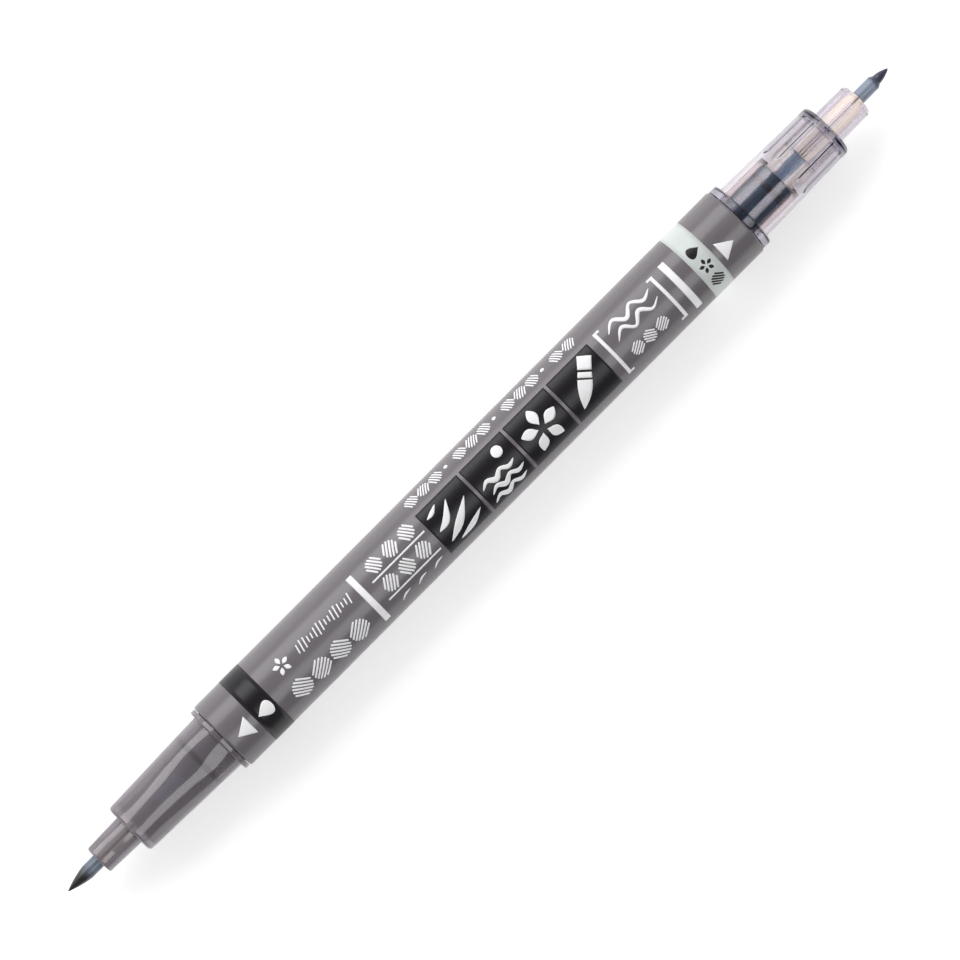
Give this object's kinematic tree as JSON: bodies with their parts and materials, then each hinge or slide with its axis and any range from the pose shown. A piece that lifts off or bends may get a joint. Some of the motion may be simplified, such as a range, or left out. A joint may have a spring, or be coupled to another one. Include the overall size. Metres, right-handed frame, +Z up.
{
  "type": "double-ended calligraphy marker",
  "caption": "Double-ended calligraphy marker, uncapped: round barrel, a smoky and a clear grip section, and a flexible brush nib at each end.",
  "frame": {"origin": "middle of the marker's overall box, on the barrel's axis halfway between the two nib points", "axes": "+X along the barrel's axis, from the black-ink end towards the grey-ink end; +Z up, with the marker lying on its side"},
  "size_m": [0.1508, 0.0104, 0.0104],
  "materials": {
    "barrel_plastic": "moulded grey plastic with a soft gloss",
    "natural_plastic": "undyed moulded plastic",
    "smoke_plastic": "polished smoke-grey translucent plastic",
    "clear_plastic": "polished clear plastic with a faint grey tint",
    "clear_insert": "clear moulded insert",
    "ink_wick": "ink-soaked fibre rod",
    "ink_fibre": "ink-soaked fibre bundle",
    "fibre_film": "thin clear film",
    "nib_stem": "undyed elastic nib stock",
    "brush_nib": "elastic nib, inked black towards its point"
  },
  "bodies": {
    "root": {"barrel": "barrel_plastic", "divider_plug": "natural_plastic", "black_section": "smoke_plastic", "black_wick_holder": "clear_insert", "black_fibre_collar": "clear_insert", "black_feed_wick": "ink_wick", "black_ink_fibre": "ink_fibre", "black_fibre_film": "fibre_film", "black_nib_stem": "nib_stem", "grey_section": "clear_plastic", "grey_wick_holder": "clear_insert", "grey_fibre_collar": "clear_insert", "grey_feed_wick": "ink_wick", "grey_ink_fibre": "ink_fibre", "grey_fibre_film": "fibre_film", "grey_nib_stem": "nib_stem"},
    "black_nib": {"black_brush_tip": "brush_nib"},
    "grey_nib": {"grey_brush_tip": "brush_nib"}
  },
  "joints": [
    {"name": "black_nib_flex", "type": "hinge", "parent": "root", "child": "black_nib", "pos_m": [-0.06975, 0, 0], "axis": [0, 1, 0], "range_deg": [-20, 20], "stiffness_Nm_per_rad": 0.008},
    {"name": "grey_nib_flex", "type": "hinge", "parent": "root", "child": "grey_nib", "pos_m": [0.06975, 0, 0], "axis": [0, 1, 0], "range_deg": [-20, 20], "stiffness_Nm_per_rad": 0.008}
  ]
}
